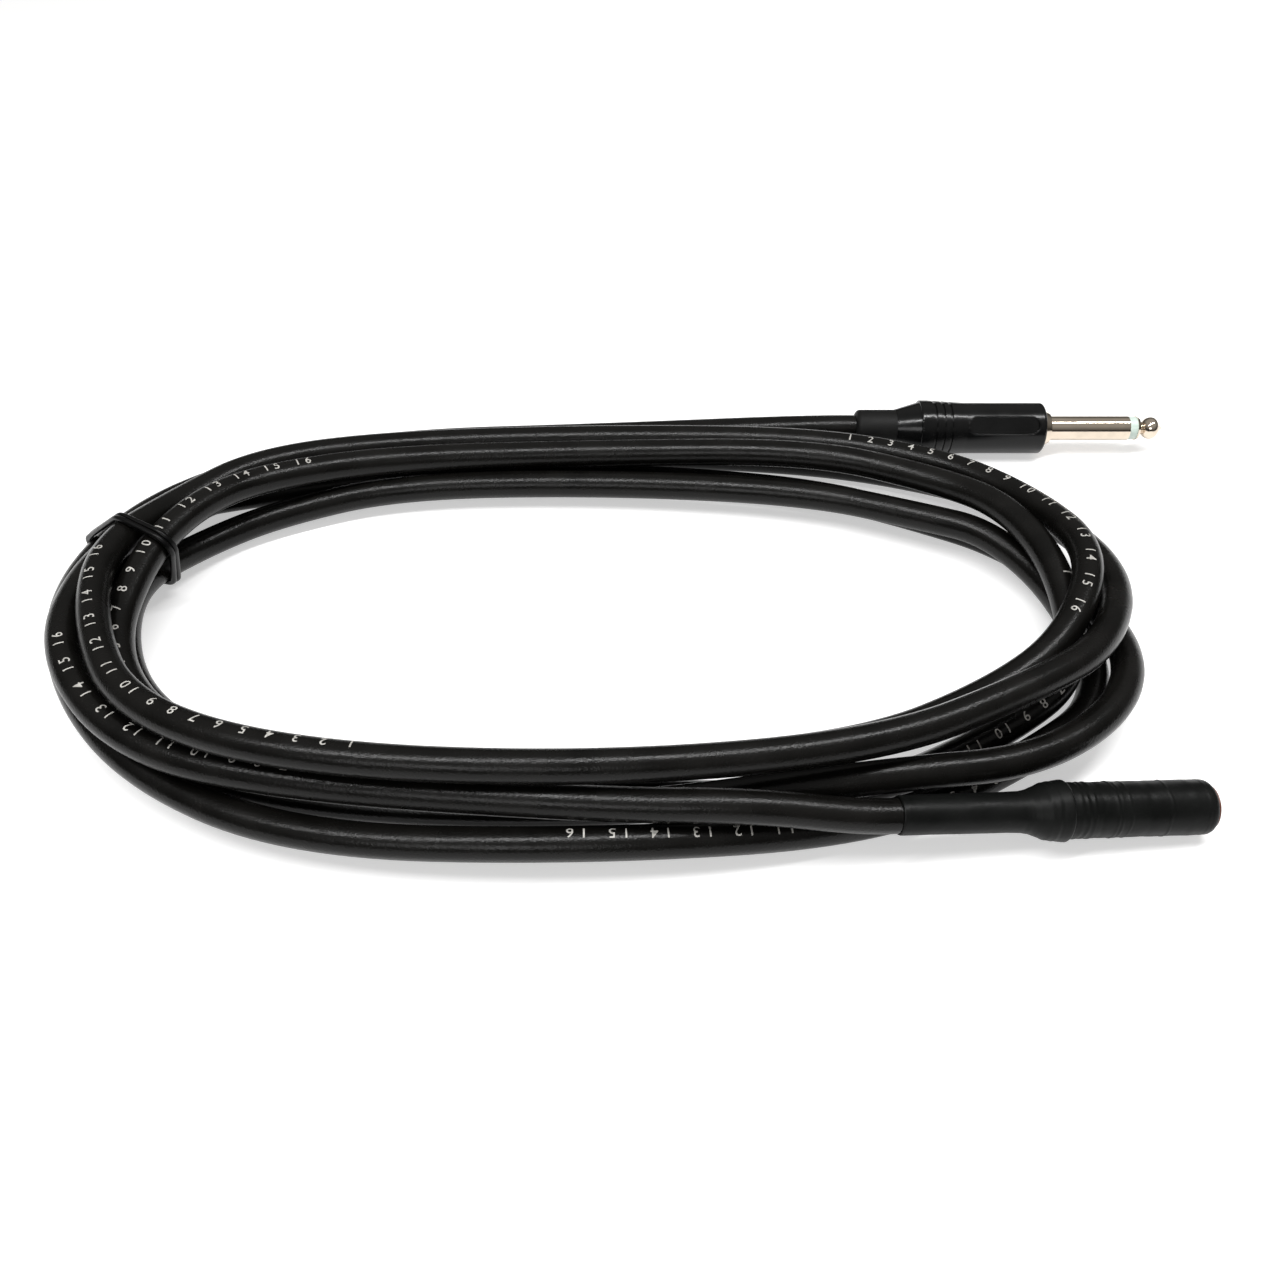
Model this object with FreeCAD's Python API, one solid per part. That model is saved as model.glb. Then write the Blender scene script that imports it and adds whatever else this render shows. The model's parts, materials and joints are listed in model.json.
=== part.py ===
import FreeCAD, Part

import math
import os

from FreeCAD import Vector

os.makedirs("parts", exist_ok=True)

# Cable, in millimetres
CABLE_D = 6.8
SHIELD_D = 4.8
CORE_D = 3.0
CONDUCTOR_D = 1.0
CORE_GAP = 0.03

# Oval line that the outermost turn of the coil follows
OVAL_HALF_LENGTH = 118.5
OVAL_HALF_WIDTH = 67.0
OVAL_POWER = 2.4

# Depth of the flat that the coil stands on, cut from the underside of its lowest turns
FLAT_DEPTH = 0.5

# Stations of the coil in travel order, from the socket to the plug, one list for each turn:
# angle round the oval in degrees, inset from the oval line, height above the first layer
COIL_TURNS = [
    [(281, -1.0, 11.5), (270, 1.0, 11.5), (247.5, 1.5, 11.5), (225, -1.0, 12.5), (202.5, 2.0, 14.0),
     (180, 5.5, 10.0), (157.5, 9.0, 6.0), (135, 12.0, 2.5), (112.5, 13.5, 0.0), (90, 16.5, 0.0),
     (67.5, 18.5, 0.0), (45, 19.5, 0.0), (22.5, 15.5, 0.0), (0, 5.0, 1.0), (337.5, -0.5, 7.0),
     (315, -0.5, 8.0), (292.5, 5.0, 8.5)],
    [(270, 5.5, 4.0), (247.5, 4.5, 2.5), (225, 4.0, 0.0), (202.5, 5.0, 0.0), (180, 6.0, 0.0),
     (157.5, 4.5, 0.0), (135, 4.5, 0.0), (112.5, 5.5, 0.0), (90, 6.5, 0.0), (67.5, 6.0, 0.0),
     (45, 4.5, 1.0), (22.5, 3.0, 4.0), (0, 3.0, 10.0), (337.5, 7.0, 15.0), (315, 9.0, 17.0),
     (292.5, 7.0, 17.0)],
    [(270, 4.0, 18.5), (247.5, 2.0, 19.5), (225, 3.0, 19.0), (202.5, 9.5, 18.0), (180, 11.0, 15.5),
     (157.5, 14.0, 11.5), (135, 11.5, 11.0), (112.5, 10.0, 8.5), (90, 9.0, 7.0), (67.5, 8.0, 8.0),
     (45, 8.0, 9.5), (22.5, 9.5, 11.5), (0, 10.0, 16.0), (337.5, 14.5, 13.5), (315, 16.5, 9.5),
     (292.5, 15.5, 7.0)],
    [(270, 13.0, 7.5), (247.5, 9.5, 8.0), (225, 8.0, 8.0), (202.5, 12.0, 9.5), (180, 18.0, 12.5),
     (157.5, 21.5, 13.5), (135, 19.5, 12.0), (112.5, 18.0, 9.5), (90, 17.0, 8.0), (67.5, 16.5, 10.0),
     (45, 17.5, 11.0), (22.5, 18.0, 12.5), (0, 15.0, 10.0), (337.5, 11.5, 4.5), (315, 12.0, 1.0),
     (292.5, 9.5, 0.0)],
    [(270, 12.0, 0.0), (247.5, 12.0, 0.0), (225, 12.0, 0.0), (202.5, 12.5, 2.0), (180, 13.5, 3.5),
     (157.5, 18.0, 0.0), (135, 20.0, 1.0), (112.5, 21.0, 2.5), (90, 23.5, 3.0), (67.5, 25.0, 4.0),
     (45, 25.0, 5.0), (22.5, 21.0, 5.5), (0, 13.0, 2.5), (337.5, 5.0, 0.0), (315, 4.5, 0.0),
     (292.5, 0.0, 1.5)],
    [(270, -3.5, 5.0), (247.5, -4.5, 4.0), (225, -2.0, 5.0), (202.5, 1.0, 6.5), (180, -1.0, 3.5),
     (157.5, -3.0, 0.0), (135, -3.0, 0.0), (112.5, -2.5, 0.0), (90, -1.0, 1.0)],
]

# Thin double tie at the left of the coil, which lifts the bundle by its own thickness
TIE_ANGLE = 170
TIE_D = 1.3
TIE_TURNS = 2
TIE_GAP = 0.7
TIE_FLOOR_GAP = 0.4
TIE_PITCH = 1.45
TIE_LIFT_SPAN = 60

# Plug: positions are along its axis from the front shoulder, with the tip at the positive end
PLUG_OUTSET = 0.2
PLUG_PAST_END = 0.1
PLUG_Y = OVAL_HALF_WIDTH + PLUG_OUTSET
PLUG_SHOULDER_X = OVAL_HALF_LENGTH + PLUG_PAST_END
SHAFT_D = 6.35
SHAFT_LENGTH = 21.2
RING_LENGTH = 2.1
RING_D = 5.9
LIP_LENGTH = 0.7
NECK_D = 3.0
NECK_X = 24.6
BALL_D = 5.85
BALL_X = 27.4
TIP_X = 30.3
POINT_D = 1.6
COLLAR_LENGTH = 1.7
COLLAR_FRONT_D = 8.2
COLLAR_D = 9.8
THREAD_D = 9.6
THREAD_REAR_X = -8.0
THREAD_FIT = 0.08
ROD_D = 2.4
ROD_TUBE_D = 4.2
FIT = 0.03

LUG_T = 0.6
LUG_IN_R = 3.5
LUG_RING_IN_R = 2.3
LUG_LEG_ANGLE = 70
CLAMP_ANGLE = 300
CLAMP_LENGTH = 4.0
WASHER_T = 1.0
WASHER_D = 5.8
TIP_LUG_T = 0.5
TIP_LUG_D = 6.0
TIP_LUG_WIDTH = 2.4
TIP_LUG_TAB = 6.0
RIVET_T = 0.8
RIVET_D = 3.8

BARREL_FRONT_X = -1.9
BARREL_REAR_X = -41.0
BARREL_D = 13.4
BARREL_ROUND = 0.9
BARREL_RING_D = 14.7
BARREL_RING_FRONT_X = -32.9
BARREL_RING_LENGTH = 2.15
BARREL_CONE_D = 10.0
BARREL_BORE_D = 11.0
BARREL_BORE_REAR_X = -30.0
BARREL_THROAT_D = 8.2
BARREL_THROAT_X = -38.0
BARREL_TAPER_X = -23.0
GROOVE_X = (-27.1, -29.1, -31.3)
GROOVE_WIDTH = 0.8
GROOVE_DEPTH = 0.45
PANEL_FRONT_X = -3.9
PANEL_REAR_X = -22.7
PANEL_HEIGHT = 4.7
PANEL_DEPTH = 0.35
PANEL_ANGLE = 40

LINER_WALL = 0.4
LINER_D = 10.6
LINER_FRONT_X = -9.0
LINER_CLEARANCE = 0.3
UNSCREW_TRAVEL = 6.0
CHUCK_FRONT_X = -29.0
CHUCK_REAR_X = -37.7
CHUCK_GAP = 0.1
BOOT_REAR_X = -51.7
BOOT_D = 9.7
BOOT_NOSE_D = 8.6
BOOT_ROUND = 1.4
BOOT_CLEARANCE = 0.1
LEAD_FRONT_X = -23.0
LEAD_REAR_X = -50.0
SHIELD_END_X = -21.5
CORE_END_X = -19.5

# Cable's last straight piece at each end of the coil
STRAIGHT_AT_PLUG = 16.0
STRAIGHT_AT_SOCKET = 9.0

# Socket: positions are along its axis from the neck sleeve's rear edge, with the mouth at the positive end
SOCKET_BEFORE_END = 60.3
SOCKET_INSET = 1.2
SOCKET_LIFT = 7.5
SOCKET_REAR_X = OVAL_HALF_LENGTH - SOCKET_BEFORE_END
SOCKET_REAR_Y = SOCKET_INSET - OVAL_HALF_WIDTH
SOCKET_REAR = Vector(SOCKET_REAR_X, SOCKET_REAR_Y, CABLE_D / 2 + SOCKET_LIFT)
SOCKET_YAW = 5.8
SOCKET_PITCH = 4.9
SOCKET_LENGTH = 62.5
SOCKET_BORE_D = 6.45
SOCKET_BODY_BORE_D = 6.8
SOCKET_D = 9.6
SOCKET_SLEEVE_REAR_X = 45.0
SOCKET_BODY_REAR_X = 30.2
SOCKET_WALL_FRONT_X = 31.8
SOCKET_MOUTH_SETBACK = 0.7
SHRINK_WALL = 0.55
SHRINK_FIT = 0.05
NECK_SHRINK_FRONT_D = 7.9
NECK_STRAIGHT_X = 24.5
FLARE_X = 29.2
FLARE_LIP_X = 32.6
BODY_SHRINK_REAR_X = 29.4
WRINKLES = 9
WRINKLE_HEIGHT = 0.13
WRINKLE_FRONT_X = 58.0
MOUTH_ROUND = 1.5
SEAL_T = 0.35
SEAL_OUT_R = 4.15
SEAL_IN_R = 3.55
SPRING_T = 0.4
SPRING_WIDTH = 2.6
SPRING_REAR_X = 33.2
SPRING_FRONT_X = 42.0
SPRING_BEND_X = 38.0
SPRING_REAR_Z = 3.55
SPRING_DIP_Z = 2.75
SPRING_FRONT_Z = 3.0
SLOT_CLEARANCE = 0.25
LUG_STRIP_T = 0.5
LUG_STRIP_WIDTH = 3.0
SOCKET_LUG_REAR_X = 26.6
TIP_STRIP_Z = 3.5
GROUND_STRIP_Z = -4.55
SOCKET_LEAD_REAR_X = 2.0
SOCKET_LEAD_FRONT_X = 18.0
SOCKET_SHIELD_END_X = 19.5
SOCKET_CORE_END_X = 23.0
PIGTAIL_D = 1.5
PIGTAIL_REACH = 7.5
SOLDER_R = 1.15

CABLE_R = CABLE_D / 2
PLUG_AT = Vector(PLUG_SHOULDER_X, PLUG_Y, BARREL_RING_D / 2)


def turned(outline, first=0, sweep=360):
    """Solid turned about the X axis from (x, r) points; (xm, rm, x, r) is an arc through its middle."""
    edges = []
    last = Vector(outline[-1][-2], outline[-1][-1], 0)
    for item in outline:
        here = Vector(item[-2], item[-1], 0)
        if len(item) == 4:
            edges.append(Part.Arc(last, Vector(item[0], item[1], 0), here).toShape())
        elif (here - last).Length > 1e-6:
            edges.append(Part.LineSegment(last, here).toShape())
        last = here
    face = Part.Face(Part.Wire(edges))
    face.rotate(Vector(), Vector(1, 0, 0), first)
    return face.revolve(Vector(), Vector(1, 0, 0), sweep)


def ring(x0, x1, r_in, r_out, first=0, sweep=360):
    """Tube along the X axis from x0 to x1."""
    return turned([(x0, r_in), (x1, r_in), (x1, r_out), (x0, r_out)], first, sweep)


def rod(x0, x1, r):
    """Cylinder along the X axis from x0 to x1."""
    return Part.makeCylinder(r, x1 - x0, Vector(x0, 0, 0), Vector(1, 0, 0))


def block(x0, x1, y0, y1, z0, z1):
    """Box between two corners."""
    return Part.makeBox(x1 - x0, y1 - y0, z1 - z0, Vector(x0, y0, z0))


def unit(vector):
    """Copy of a vector with length one."""
    return Vector(vector).normalize()


def tube(wire, start, direction, diameter):
    """Round solid swept along a wire."""
    circle = Part.Wire([Part.Circle(start, direction, diameter / 2).toShape()])
    return wire.makePipeShell([circle], True, False)


def rounded_edges(points, share=0.45):
    """Straight runs joined by tangent arcs, each as large as its two runs allow, and the arcs' radii."""
    edges = []
    radii = []
    last = points[0]
    for before, corner, after in zip(points, points[1:], points[2:]):
        run_in = corner - before
        run_out = after - corner
        reach = share * min(run_in.Length, run_out.Length)
        t_in = unit(run_in)
        t_out = unit(run_out)
        half = t_in.getAngle(t_out) / 2
        radius = reach / math.tan(half)
        centre = corner + unit(t_out - t_in) * (radius / math.cos(half))
        start = corner - t_in * reach
        end = corner + t_out * reach
        middle = centre + unit(corner - centre) * radius
        edges.append(Part.LineSegment(last, start).toShape())
        edges.append(Part.Arc(start, middle, end).toShape())
        radii.append(radius)
        last = end
    edges.append(Part.LineSegment(last, points[-1]).toShape())
    return edges, radii


def wire_cord(points, diameter):
    """Thin wire or pigtail through a few points."""
    edges, radii = rounded_edges(points)
    return tube(Part.Wire(edges), points[0], points[1] - points[0], diameter)


def oval_point(angle, inset):
    """Point on the level oval line, moved inward along the line's normal."""
    c = math.cos(math.radians(angle))
    s = math.sin(math.radians(angle))
    x = OVAL_HALF_LENGTH * math.copysign(abs(c) ** (2 / OVAL_POWER), c)
    y = OVAL_HALF_WIDTH * math.copysign(abs(s) ** (2 / OVAL_POWER), s)
    slope_x = math.copysign(abs(x / OVAL_HALF_LENGTH) ** (OVAL_POWER - 1), x) / OVAL_HALF_LENGTH
    slope_y = math.copysign(abs(y / OVAL_HALF_WIDTH) ** (OVAL_POWER - 1), y) / OVAL_HALF_WIDTH
    outward = unit(Vector(slope_x, slope_y, 0))
    return Vector(x, y, 0) - outward * inset


def tie_lift(angle):
    """Height that the tie under the bundle adds at an angle round the oval."""
    away = abs(angle - TIE_ANGLE)
    if away >= TIE_LIFT_SPAN:
        return 0
    lift = TIE_D + TIE_GAP + TIE_FLOOR_GAP + FLAT_DEPTH
    return lift * (1 + math.cos(math.pi * away / TIE_LIFT_SPAN)) / 2


def station_point(angle, inset, height):
    """Centre of the cable at one station."""
    return oval_point(angle, inset) + Vector(0, 0, CABLE_R - FLAT_DEPTH + height + tie_lift(angle))


def to_socket(shape):
    """Shape built along the X axis, moved onto the socket's axis."""
    shape.rotate(Vector(), Vector(0, 1, 0), SOCKET_PITCH)
    shape.rotate(Vector(), Vector(0, 0, 1), SOCKET_YAW)
    shape.translate(SOCKET_REAR)
    return shape


def on_socket(x):
    """Point on the socket's axis."""
    return to_socket(Part.Vertex(x, 0, 0)).Point


def coil_points():
    """Stations of the whole coil, with the straight pieces at both ends."""
    points = [on_socket(SOCKET_LEAD_REAR_X), on_socket(SOCKET_LEAD_REAR_X - STRAIGHT_AT_SOCKET)]
    for turn in COIL_TURNS:
        for angle, inset, height in turn:
            points.append(station_point(angle, inset, height))
    points.append(PLUG_AT + Vector(LEAD_REAR_X - STRAIGHT_AT_PLUG, 0, 0))
    points.append(PLUG_AT + Vector(LEAD_REAR_X, 0, 0))
    return points


def direction_at(before, here, after):
    """Direction of the circle through three stations, climbing no faster than both runs do."""
    run_in = here - before
    run_out = after - here
    climb_in = run_in.z
    climb_out = run_out.z
    run_in.z = 0
    run_out.z = 0
    direction = unit(run_in * (1 / run_in.Length ** 2) + run_out * (1 / run_out.Length ** 2))
    grade_in = climb_in / run_in.Length
    grade_out = climb_out / run_out.Length
    if grade_in * grade_out > 0:
        direction.z = 2 * grade_in * grade_out / (grade_in + grade_out)
    return unit(direction)


def arc_to(start, direction, end):
    """Arc that leaves a point in a direction: its centre, radius and middle, and the direction at its end."""
    chord = end - start
    along = unit(chord)
    half = math.acos(min(1, direction.dot(along)))
    side = unit(along - direction * direction.dot(along))
    radius = chord.Length / (2 * math.sin(half))
    centre = start + side * radius
    middle = centre - side * (radius * math.cos(half)) + direction * (radius * math.sin(half))
    end_direction = direction * math.cos(2 * half) + side * math.sin(2 * half)
    return centre, radius, middle, end_direction


def biarc_middle(start, t_start, end, t_end):
    """Point where the two arcs between a pair of stations meet."""
    chord = end - start
    both = t_start + t_end
    spread = 2 * (1 - t_start.dot(t_end))
    reach = (math.sqrt(chord.dot(both) ** 2 + spread * chord.dot(chord)) - chord.dot(both)) / spread
    return (start + t_start * reach + end - t_end * reach) * 0.5


def coil_spine():
    """Edges of the coil's centre line, the arcs' radii and points every few millimetres along it."""
    stations = coil_points()
    directions = [unit(stations[1] - stations[0])] * 2
    for before, here, after in zip(stations[1:], stations[2:], stations[3:-1]):
        directions.append(direction_at(before, here, after))
    directions += [Vector(1, 0, 0)] * 2
    edges = [Part.LineSegment(stations[0], stations[1]).toShape()]
    radii = []
    for k in range(1, len(stations) - 2):
        start = stations[k]
        end = stations[k + 1]
        joint = biarc_middle(start, directions[k], end, directions[k + 1])
        centre, radius, middle, t_joint = arc_to(start, directions[k], joint)
        edges.append(Part.Arc(start, middle, joint).toShape())
        radii.append(radius)
        centre, radius, middle, t_end = arc_to(joint, t_joint, end)
        edges.append(Part.Arc(joint, middle, end).toShape())
        radii.append(radius)
    edges.append(Part.LineSegment(stations[-2], stations[-1]).toShape())
    points = []
    for edge in edges:
        points += edge.discretize(Number=max(3, int(edge.Length / 2.5)))[:-1]
    points.append(stations[-1])
    return edges, radii, points


def least_gap(points, diameter):
    """Least clear distance of a tube to itself, away from its own run."""
    travelled = [0]
    for here, after in zip(points, points[1:]):
        travelled.append(travelled[-1] + (after - here).Length)
    rows = [(p.x, p.y, p.z, s) for p, s in zip(points, travelled)]
    least = 1e9
    reach = 2 * diameter
    for i, (x, y, z, s) in enumerate(rows):
        for x2, y2, z2, s2 in rows[i + 1:]:
            if s2 - s > 5 * diameter and abs(x2 - x) < reach and abs(y2 - y) < reach:
                gap = (x2 - x) ** 2 + (y2 - y) ** 2 + (z2 - z) ** 2
                least = min(least, gap)
    return math.sqrt(least) - diameter


def cable_coil():
    """The whole coiled length as one tube with a flat underside, and its length, radii and gap printed."""
    edges, radii, points = coil_spine()
    length = sum(edge.Length for edge in edges)
    coil = tube(Part.Wire(edges), points[0], points[1] - points[0], CABLE_D)
    share = coil.Volume / (length * math.pi * CABLE_R ** 2)
    print("coil length %.1f mm, volume over section x length %.4f" % (length, share))
    print("coil radii:", " ".join("%.0f" % radius for radius in radii))
    print("least bend radius %.1f mm" % min(radii))
    print("least gap of the coil to itself %.2f mm" % least_gap(points, CABLE_D))
    reach_x = 2 * OVAL_HALF_LENGTH
    reach_y = 2 * OVAL_HALF_WIDTH
    return coil.common(block(-reach_x, reach_x, -reach_y, reach_y, 0, reach_y))


def hull(points):
    """Corners of the convex outline round flat points, counter-clockwise."""
    points = sorted(points)
    outline = []
    for ordered in (points, points[::-1]):
        chain = []
        for p in ordered:
            while len(chain) > 1:
                a = chain[-2]
                b = chain[-1]
                if (b[0] - a[0]) * (p[1] - a[1]) - (b[1] - a[1]) * (p[0] - a[0]) > 0:
                    break
                chain.pop()
            chain.append(p)
        outline += chain[:-1]
    return outline


def cable_tie(spine_points):
    """Thin cord that goes round the whole bundle twice."""
    foot = oval_point(TIE_ANGLE, 0)
    inward = unit(oval_point(TIE_ANGLE, 1) - foot)
    along = Vector(0, 0, 1).cross(inward)
    cuts = []
    for a, b in zip(spine_points, spine_points[1:]):
        d_a = (a - foot).dot(along)
        d_b = (b - foot).dot(along)
        here = a + (b - a) * (d_a / (d_a - d_b)) if d_a * d_b < 0 else None
        if here and abs((here - foot).dot(inward)) < OVAL_HALF_WIDTH / 2:
            cuts.append(((here - foot).dot(inward), here.z))
    outline = hull(cuts)
    away = CABLE_R + TIE_GAP + TIE_D / 2
    corners = []
    count = len(outline)
    for k in range(count):
        p0 = Vector(outline[k - 1][0], outline[k - 1][1], 0)
        p1 = Vector(outline[k][0], outline[k][1], 0)
        p2 = Vector(outline[(k + 1) % count][0], outline[(k + 1) % count][1], 0)
        n1 = unit(p1 - p0).cross(Vector(0, 0, 1))
        n2 = unit(p2 - p1).cross(Vector(0, 0, 1))
        bisector = unit(n1 + n2)
        corners.append(p1 + bisector * (away / bisector.dot(n1)))
    points = []
    for step in range(TIE_TURNS * count + 1):
        corner = corners[step % count]
        shift = TIE_PITCH * (step / count - TIE_TURNS / 2)
        points.append(foot + inward * corner.x + Vector(0, 0, corner.y) + along * shift)
    points = [(points[0] + points[1]) * 0.5] + points[1:-1] + [(points[-2] + points[-1]) * 0.5]
    edges = []
    last = points[0]
    for before, corner, after in zip(points, points[1:], points[2:]):
        t_in = unit(corner - before)
        t_out = unit(after - corner)
        half = t_in.getAngle(t_out) / 2
        reach = min(away * math.tan(half), 0.49 * (corner - before).Length, 0.49 * (after - corner).Length)
        radius = reach / math.tan(half)
        centre = corner + unit(t_out - t_in) * (radius / math.cos(half))
        start = corner - t_in * reach
        end = corner + t_out * reach
        edges.append(Part.LineSegment(last, start).toShape())
        edges.append(Part.Arc(start, centre + unit(corner - centre) * radius, end).toShape())
        last = end
    edges.append(Part.LineSegment(last, points[-1]).toShape())
    return tube(Part.Wire(edges), points[0], points[1] - points[0], TIE_D)


def plug_sleeve():
    """Shaft, collar and threaded body of the plug in one turned piece."""
    bore = ROD_TUBE_D / 2 + FIT
    return turned([
        (THREAD_REAR_X, bore),
        (SHAFT_LENGTH, bore),
        (SHAFT_LENGTH, SHAFT_D / 2),
        (0, SHAFT_D / 2),
        (0, COLLAR_FRONT_D / 2),
        (-COLLAR_LENGTH, COLLAR_D / 2),
        (-COLLAR_LENGTH - 0.01, THREAD_D / 2),
        (THREAD_REAR_X, THREAD_D / 2),
    ])


def plug_tip():
    """Ball, neck and point of the tip with the rod that carries it, closed behind by a rivet head."""
    rod_r = ROD_D / 2
    lip_x = SHAFT_LENGTH + RING_LENGTH
    rivet_x = THREAD_REAR_X - LUG_T - WASHER_T - TIP_LUG_T
    ball_r = BALL_D / 2
    return turned([
        (rivet_x - RIVET_T, 0),
        (rivet_x - RIVET_T, RIVET_D / 2 - 0.3),
        (rivet_x - RIVET_T + 0.3, RIVET_D / 2),
        (rivet_x, RIVET_D / 2),
        (rivet_x, rod_r),
        (lip_x, rod_r),
        (lip_x, SHAFT_D / 2),
        (lip_x + LIP_LENGTH, SHAFT_D / 2 - 0.35),
        (NECK_X - 0.1, NECK_D / 2 + 0.35, NECK_X + 0.5, NECK_D / 2 + 0.1),
        (BALL_X - 1.3, ball_r - 0.35, BALL_X, ball_r),
        (BALL_X + 1.0, ball_r - 0.3, BALL_X + 1.6, ball_r - 0.95),
        (TIP_X - 0.35, POINT_D / 2),
        (TIP_X, POINT_D / 2 - 0.35),
        (TIP_X, 0),
    ])


def plug_tip_ring():
    """Insulating ring between the shaft and the tip."""
    return ring(SHAFT_LENGTH, SHAFT_LENGTH + RING_LENGTH, ROD_D / 2 + FIT, RING_D / 2)


def plug_rod_tube():
    """Insulating tube between the rod and the shaft."""
    return ring(THREAD_REAR_X, SHAFT_LENGTH, ROD_D / 2 + FIT, ROD_TUBE_D / 2)


def plug_ground_lug():
    """Ring, leg and cable clamp bent from one strip."""
    ring_rear_x = THREAD_REAR_X - LUG_T
    out_r = LUG_IN_R + LUG_T
    clamp_x = LEAD_FRONT_X - 0.5
    lug = ring(ring_rear_x, THREAD_REAR_X, LUG_RING_IN_R, out_r)
    lug = lug.fuse(ring(clamp_x, THREAD_REAR_X, LUG_IN_R, out_r, -90 - LUG_LEG_ANGLE / 2, LUG_LEG_ANGLE))
    clamp = ring(clamp_x - CLAMP_LENGTH, clamp_x, LUG_IN_R, out_r, -90 - CLAMP_ANGLE / 2, CLAMP_ANGLE)
    return lug.fuse(clamp).removeSplitter()


def plug_washer():
    """Insulating washer between the two lugs."""
    rear_x = THREAD_REAR_X - LUG_T - WASHER_T
    return ring(rear_x, THREAD_REAR_X - LUG_T, ROD_D / 2 + FIT, WASHER_D / 2)


def plug_tip_lug():
    """Ring under the rivet head with a bent solder tab."""
    front_x = THREAD_REAR_X - LUG_T - WASHER_T
    rear_x = front_x - TIP_LUG_T
    top = TIP_LUG_D / 2
    lug = ring(rear_x, front_x, ROD_D / 2 + FIT, top)
    half = TIP_LUG_WIDTH / 2
    tab = block(rear_x - TIP_LUG_TAB, front_x, -half, half, top - TIP_LUG_T, top)
    return lug.fuse(tab).removeSplitter()


def plug_liner():
    """Thin insulating tube inside the barrel, clear of the chuck when the barrel is unscrewed."""
    rear_x = CHUCK_FRONT_X + UNSCREW_TRAVEL + LINER_CLEARANCE
    return ring(rear_x, LINER_FRONT_X, LINER_D / 2 - LINER_WALL, LINER_D / 2)


def plug_barrel():
    """Threaded cover that swells to a ring behind three grooves, with a bare recessed panel."""
    r = BARREL_D / 2
    front = BARREL_FRONT_X
    ring_r = BARREL_RING_D / 2
    ring_rear_x = BARREL_RING_FRONT_X - BARREL_RING_LENGTH
    nose_r = BOOT_NOSE_D / 2 + FIT
    outline = [
        (front, THREAD_D / 2 + THREAD_FIT),
        (front, r - BARREL_ROUND),
        (front - 0.29 * BARREL_ROUND, r - 0.29 * BARREL_ROUND, front - BARREL_ROUND, r),
    ]
    slope = (ring_r - r) / (BARREL_TAPER_X - BARREL_RING_FRONT_X)
    outline.append((BARREL_TAPER_X, r))
    for x in GROOVE_X:
        ahead = x + GROOVE_WIDTH / 2
        behind = x - GROOVE_WIDTH / 2
        ahead_r = r + slope * (BARREL_TAPER_X - ahead)
        behind_r = r + slope * (BARREL_TAPER_X - behind)
        outline += [
            (ahead, ahead_r),
            (ahead, ahead_r - GROOVE_DEPTH),
            (behind, behind_r - GROOVE_DEPTH),
            (behind, behind_r),
        ]
    outline += [
        (BARREL_RING_FRONT_X, ring_r),
        (ring_rear_x + 0.5, ring_r),
        (ring_rear_x + 0.1, ring_r - 0.15, ring_rear_x, ring_r - 0.5),
        (BARREL_REAR_X, BARREL_CONE_D / 2),
        (BARREL_REAR_X, nose_r),
        (BARREL_THROAT_X, nose_r),
        (BARREL_THROAT_X, BARREL_THROAT_D / 2),
        (BARREL_BORE_REAR_X, BARREL_BORE_D / 2),
        (THREAD_REAR_X - 0.2, BARREL_BORE_D / 2),
        (THREAD_REAR_X - 0.2, THREAD_D / 2 + THREAD_FIT),
    ]
    barrel = turned(outline)
    half = PANEL_HEIGHT / 2
    floor = r - PANEL_DEPTH
    pocket = block(PANEL_REAR_X + half, PANEL_FRONT_X - half, -half, half, floor, r + 1)
    for x in (PANEL_REAR_X + half, PANEL_FRONT_X - half):
        pocket = pocket.fuse(Part.makeCylinder(half, PANEL_DEPTH + 1, Vector(x, 0, floor)))
    pocket.rotate(Vector(), Vector(1, 0, 0), 90 - PANEL_ANGLE)
    return barrel.cut(pocket)


def plug_chuck():
    """Tapered clamp that grips the cable's jacket."""
    slope = (BARREL_BORE_D - BARREL_THROAT_D) / 2 / (BARREL_BORE_REAR_X - BARREL_THROAT_X)
    rear_r = BARREL_THROAT_D / 2 + slope * (CHUCK_REAR_X - BARREL_THROAT_X) - CHUCK_GAP
    front_r = BARREL_BORE_D / 2 - CHUCK_GAP
    inner = CABLE_R + FIT
    return turned([
        (CHUCK_REAR_X, inner),
        (CHUCK_FRONT_X, inner),
        (CHUCK_FRONT_X, front_r),
        (BARREL_BORE_REAR_X, front_r),
        (CHUCK_REAR_X, rear_r),
    ])


def plug_boot():
    """Rubber boot behind the barrel, with a nose inside it and a rounded rear edge."""
    inner = CABLE_R + BOOT_CLEARANCE
    r = BOOT_D / 2
    a = BOOT_ROUND
    return turned([
        (BOOT_REAR_X, inner),
        (BOOT_REAR_X, r - a),
        (BOOT_REAR_X + 0.29 * a, r - 0.29 * a, BOOT_REAR_X + a, r),
        (BARREL_REAR_X, r),
        (BARREL_REAR_X, BOOT_NOSE_D / 2),
        (BARREL_THROAT_X, BOOT_NOSE_D / 2),
        (BARREL_THROAT_X, inner),
    ])


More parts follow.
